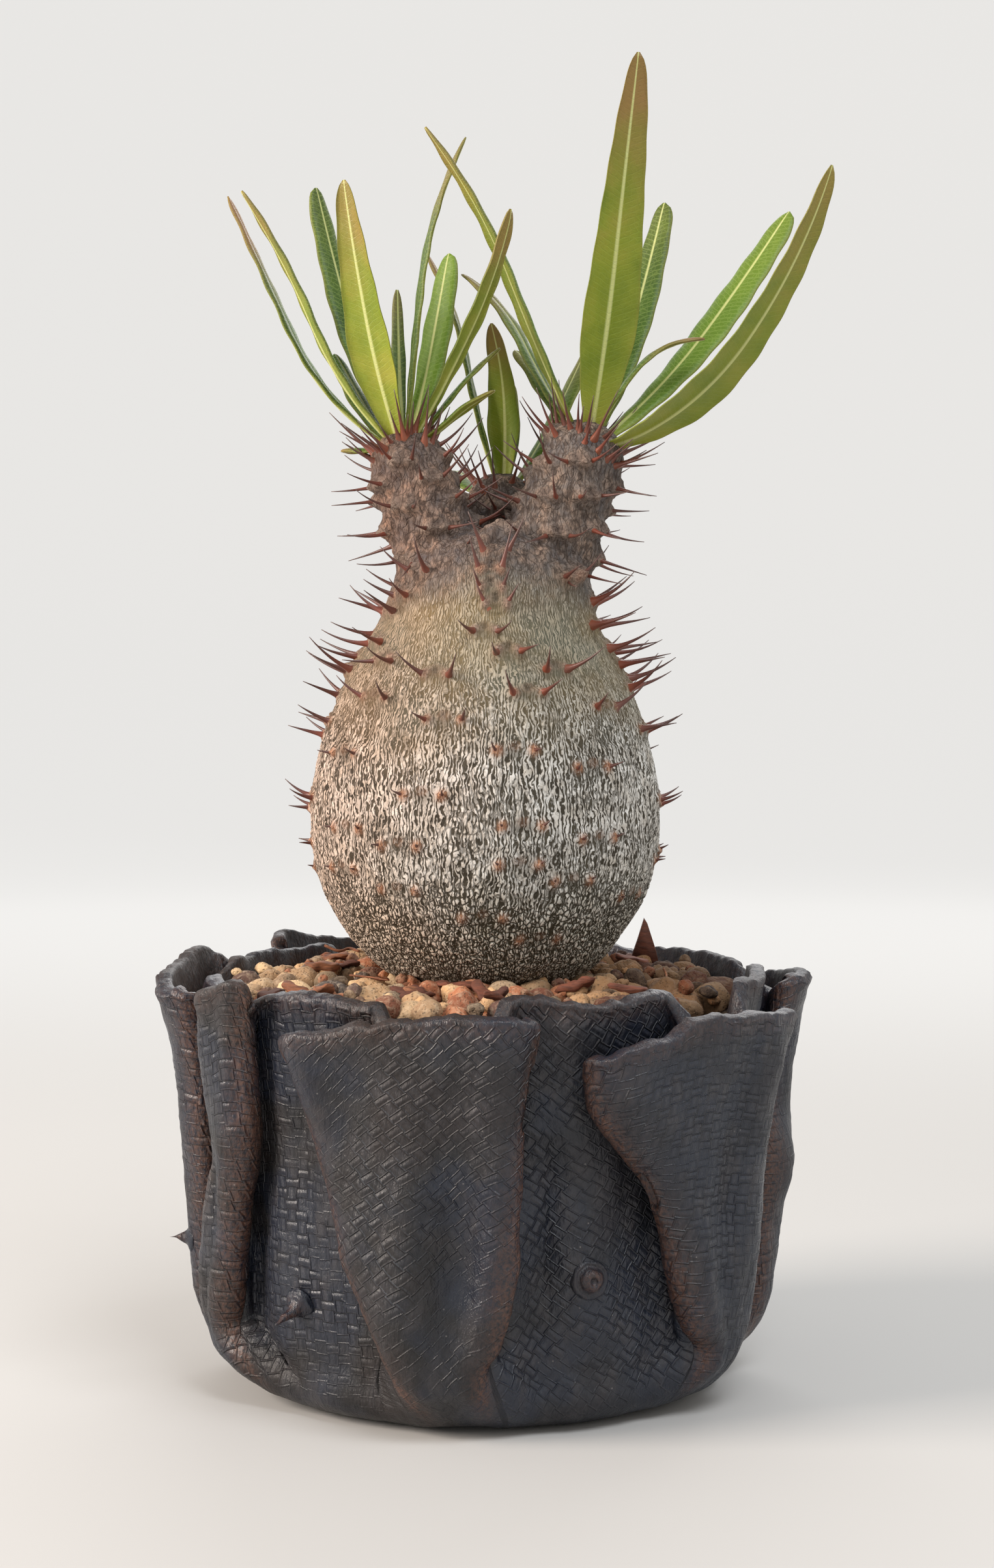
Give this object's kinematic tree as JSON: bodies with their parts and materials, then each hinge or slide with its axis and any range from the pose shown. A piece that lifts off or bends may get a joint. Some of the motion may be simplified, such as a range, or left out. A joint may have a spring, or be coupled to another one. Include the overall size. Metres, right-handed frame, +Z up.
{
  "type": "potted pachypodium",
  "caption": "Swollen spiny stem with short branches and tufts of long leaves, in gritty mix in a pot folded from black clay.",
  "frame": {"origin": "middle of the flat foot of the pot, on the surface that it stands on", "axes": "+Z up along the stem; -Y towards the front, where the two large flaps of the pot are; +X to the right"},
  "size_m": [0.1165, 0.1116, 0.2292],
  "materials": {
    "pot_clay": "unglazed black stoneware with an impressed weave",
    "grit": "rough mixed pumice, lava and bark",
    "stem_bark": "matt, finely wrinkled grey bark",
    "leaf_green": "satin green leaf"
  },
  "bodies": {
    "root": {"pot": "pot_clay", "gritty_mix": "grit", "stem": "stem_bark", "leaf_left_01": "leaf_green", "leaf_left_02": "leaf_green", "leaf_left_03": "leaf_green", "leaf_left_04": "leaf_green", "leaf_left_05": "leaf_green", "leaf_left_06": "leaf_green", "leaf_left_07": "leaf_green", "leaf_left_08": "leaf_green", "leaf_left_09": "leaf_green", "leaf_left_10": "leaf_green", "leaf_left_11": "leaf_green", "leaf_left_12": "leaf_green", "leaf_right_01": "leaf_green", "leaf_right_02": "leaf_green", "leaf_right_03": "leaf_green", "leaf_right_04": "leaf_green", "leaf_right_05": "leaf_green", "leaf_right_06": "leaf_green", "leaf_right_07": "leaf_green", "leaf_right_08": "leaf_green", "leaf_back_01": "leaf_green", "leaf_back_02": "leaf_green", "leaf_back_03": "leaf_green", "leaf_back_04": "leaf_green", "leaf_back_05": "leaf_green"}
  },
  "joints": []
}
